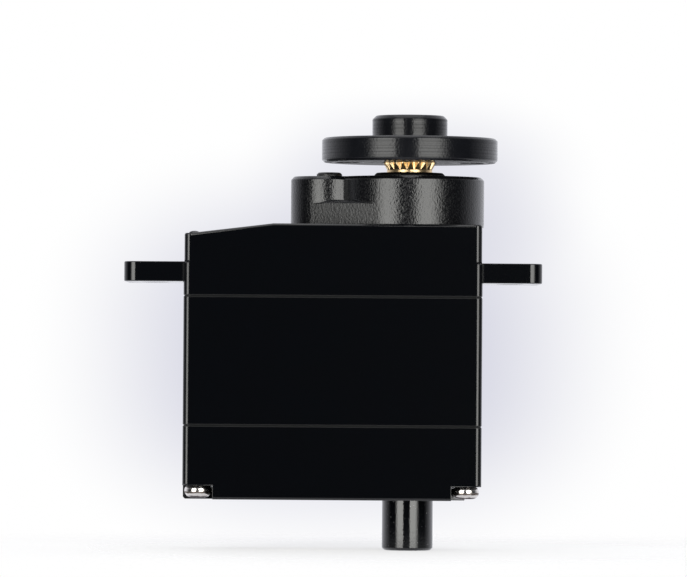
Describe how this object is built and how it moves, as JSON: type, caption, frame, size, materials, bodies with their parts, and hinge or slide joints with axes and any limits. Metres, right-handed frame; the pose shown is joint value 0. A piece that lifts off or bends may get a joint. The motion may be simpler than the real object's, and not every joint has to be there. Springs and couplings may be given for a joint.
{
  "type": "robot joint actuator",
  "caption": "Small black servo actuator with mounting ears, a brass splined output that carries a disc horn, and a coaxial idler pin on the opposite face.",
  "frame": {"origin": "where the output axis meets the case's bottom face, at the root of the idler pin", "axes": "+Z along the output axis towards the horn, +X along the case's length from the motor to the output, +Y through the case's width, away from the pictured face"},
  "size_m": [0.0325, 0.0138, 0.0341],
  "materials": {
    "case_black": "moulded nylon, black, fine satin",
    "screw_nickel": "nickel-plated steel, bright",
    "horn_black": "turned aluminium, black anodised",
    "brass_bright": "cut brass, bright",
    "gear_steel": "sintered steel",
    "pin_steel": "ground steel",
    "bearing_steel": "polished bearing steel",
    "can_steel": "drawn steel, nickel plated",
    "magnet_grey": "coated magnet",
    "coil_copper": "enamelled copper winding",
    "cap_white": "moulded plastic, off-white",
    "sensor_plastic": "moulded plastic, dark blue",
    "track_carbon": "carbon resistance track",
    "board_green": "glass-fibre board with green lacquer",
    "chip_black": "moulded epoxy",
    "capacitor_tan": "ceramic, tan",
    "socket_ivory": "moulded nylon, ivory",
    "leg_tin": "tinned"
  },
  "bodies": {
    "case": {"bottom_cover": "case_black", "middle_case": "case_black", "top_case": "case_black", "case_screws": "screw_nickel", "gear_pin": "pin_steel", "shaft_bush": "brass_bright", "output_bearing_outer": "bearing_steel", "motor_can": "can_steel", "motor_magnet": "magnet_grey", "motor_end_cap": "cap_white", "motor_brushes": "brass_bright", "motor_terminals": "leg_tin", "sensor_body": "sensor_plastic", "sensor_track": "track_carbon", "sensor_legs": "leg_tin", "control_board": "board_green", "controller_chip": "chip_black", "driver_chip": "chip_black", "board_capacitors": "capacitor_tan", "bus_socket_1": "socket_ivory", "bus_socket_2": "socket_ivory", "socket_pins_1": "leg_tin", "socket_pins_2": "leg_tin"},
    "output": {"output_gear": "brass_bright", "horn_disc": "horn_black", "horn_screw": "screw_nickel", "output_bearing_inner": "bearing_steel", "sensor_wiper": "cap_white"},
    "ball_set": {"bearing_balls": "bearing_steel"},
    "gear_3": {"compound_gear_3": "gear_steel"},
    "gear_2": {"compound_gear_2": "gear_steel"},
    "gear_1": {"compound_gear_1": "brass_bright"},
    "rotor": {"motor_shaft": "pin_steel", "motor_pinion": "brass_bright", "rotor_coil": "coil_copper", "motor_commutator": "coil_copper"}
  },
  "joints": [
    {"name": "motor_turn", "type": "hinge", "parent": "case", "child": "rotor", "pos_m": [-0.0116, 0, 0.0205], "axis": [0, 0, 1], "range_deg": [-19744, 19744]},
    {"name": "output_turn", "type": "hinge", "parent": "case", "child": "output", "pos_m": [0, 0, 0.0205], "axis": [0, 0, 1], "range_deg": [-150, 150]},
    {"name": "gear_3_turn", "type": "hinge", "parent": "case", "child": "gear_3", "pos_m": [-0.0063, 0, 0.0205], "axis": [0, 0, 1], "range_deg": [-423, 423]},
    {"name": "gear_2_turn", "type": "hinge", "parent": "case", "child": "gear_2", "pos_m": [0, 0, 0.0205], "axis": [0, 0, 1], "range_deg": [-1307, 1307]},
    {"name": "gear_1_turn", "type": "hinge", "parent": "case", "child": "gear_1", "pos_m": [-0.0063, 0, 0.0205], "axis": [0, 0, 1], "range_deg": [-4039, 4039]},
    {"name": "ball_set_turn", "type": "hinge", "parent": "case", "child": "ball_set", "pos_m": [0, 0, 0.0234], "axis": [0, 0, 1], "range_deg": [-65.2, 65.2]}
  ],
  "couplings": [
    {"joint": "output_turn", "follows": "motor_turn", "ratio": 0.0075971},
    {"joint": "gear_3_turn", "follows": "motor_turn", "ratio": -0.02141},
    {"joint": "gear_2_turn", "follows": "motor_turn", "ratio": 0.066176},
    {"joint": "gear_1_turn", "follows": "motor_turn", "ratio": -0.20455},
    {"joint": "ball_set_turn", "follows": "motor_turn", "ratio": 0.0033013}
  ]
}
